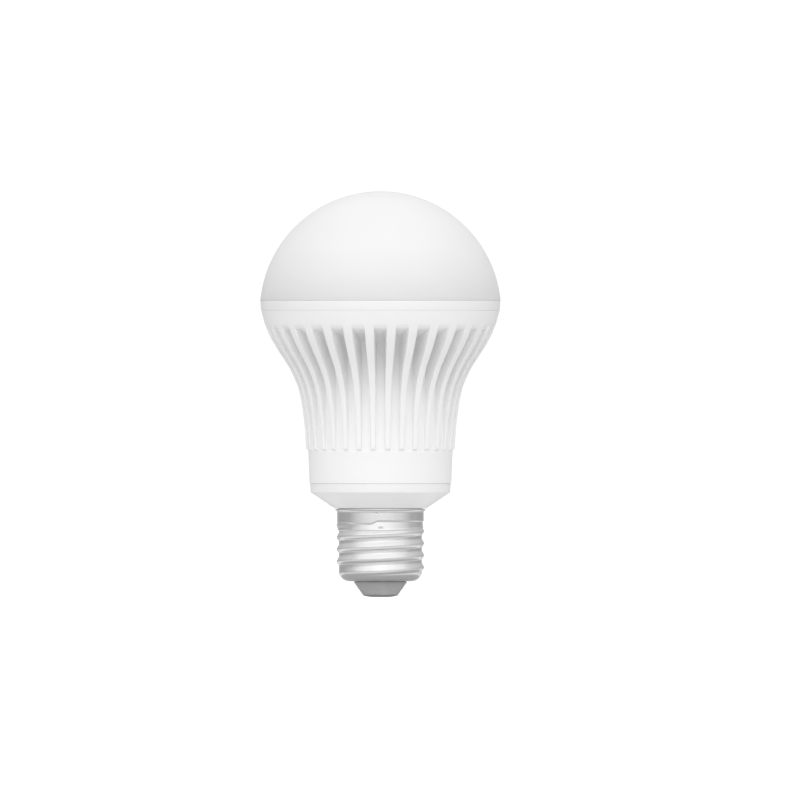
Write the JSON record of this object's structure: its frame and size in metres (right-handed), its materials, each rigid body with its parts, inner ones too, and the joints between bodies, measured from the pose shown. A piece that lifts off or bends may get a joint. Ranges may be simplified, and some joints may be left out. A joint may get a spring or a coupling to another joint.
{
  "type": "smart light bulb",
  "caption": "Screw-base smart light bulb with a frosted globe over a finned white heat sink, with LED board, driver and radio board inside.",
  "frame": {"origin": "tip of the centre contact, on the bulb's axis, which is also the middle of the bottom of its bounding box", "axes": "+Z along the axis from the screw base to the globe; the front of the bulb faces -Y, with +X to its right; a gap between two fins faces the front"},
  "size_m": [0.0722, 0.0722, 0.122],
  "materials": {
    "opal_plastic": "frosted opal polycarbonate, fine satin surface",
    "white_paint": "satin white powder coat over die-cast aluminium",
    "white_plastic": "moulded white plastic, semi-gloss",
    "nickel_plate": "nickel-plated brass, rolled and satin bright",
    "grey_plastic": "mid-grey moulded insulator, matte",
    "contact_metal": "plated contact metal, softly polished",
    "silicone": "white silicone sealant",
    "board_white": "white solder mask on an aluminium-core board",
    "board_green": "green glass-epoxy board",
    "led_phosphor": "yellow phosphor in a white package",
    "thermal_pad": "grey-blue soft thermal pad",
    "screw_steel": "zinc-plated steel",
    "cream_plastic": "cream nylon connector",
    "sleeve_plastic": "natural insulating plastic",
    "ferrite": "dark sintered ferrite",
    "winding_tape": "copper winding under yellow polyester tape",
    "capacitor_sleeve": "dark shrink sleeve",
    "film_box": "dipped or boxed film capacitor",
    "black_epoxy": "black moulding compound",
    "resistor_body": "lacquered ceramic",
    "tin_plate": "tinned sheet",
    "copper": "bare copper strip",
    "wire_red": "red wire insulation",
    "wire_black": "black wire insulation",
    "wire_white": "white wire insulation"
  },
  "bodies": {
    "root": {"globe_diffuser": "opal_plastic", "diffuser_ring": "white_plastic", "diffuser_seal": "silicone", "heat_sink": "white_paint", "base_housing": "white_plastic", "driver_sleeve": "sleeve_plastic", "screw_shell": "nickel_plate", "base_insulator": "grey_plastic", "centre_contact": "contact_metal", "thermal_pad": "thermal_pad", "led_board": "board_white", "led_01": "led_phosphor", "led_02": "led_phosphor", "led_03": "led_phosphor", "led_04": "led_phosphor", "led_05": "led_phosphor", "led_06": "led_phosphor", "led_07": "led_phosphor", "led_08": "led_phosphor", "led_09": "led_phosphor", "led_10": "led_phosphor", "led_11": "led_phosphor", "led_12": "led_phosphor", "led_board_screw_1": "screw_steel", "led_board_screw_2": "screw_steel", "led_board_screw_3": "screw_steel", "led_connector": "cream_plastic", "led_wire_pos": "wire_red", "led_wire_neg": "wire_black", "driver_board": "board_green", "transformer_core": "ferrite", "transformer_winding": "winding_tape", "input_capacitor": "capacitor_sleeve", "output_capacitor": "capacitor_sleeve", "film_capacitor": "film_box", "inductor": "ferrite", "bridge_rectifier": "black_epoxy", "driver_ic": "black_epoxy", "power_transistor": "black_epoxy", "fuse_resistor": "resistor_body", "radio_board": "board_green", "radio_shield": "tin_plate", "radio_header": "black_epoxy", "radio_antenna": "copper", "live_wire": "wire_white", "neutral_wire": "wire_black"}
  },
  "joints": []
}
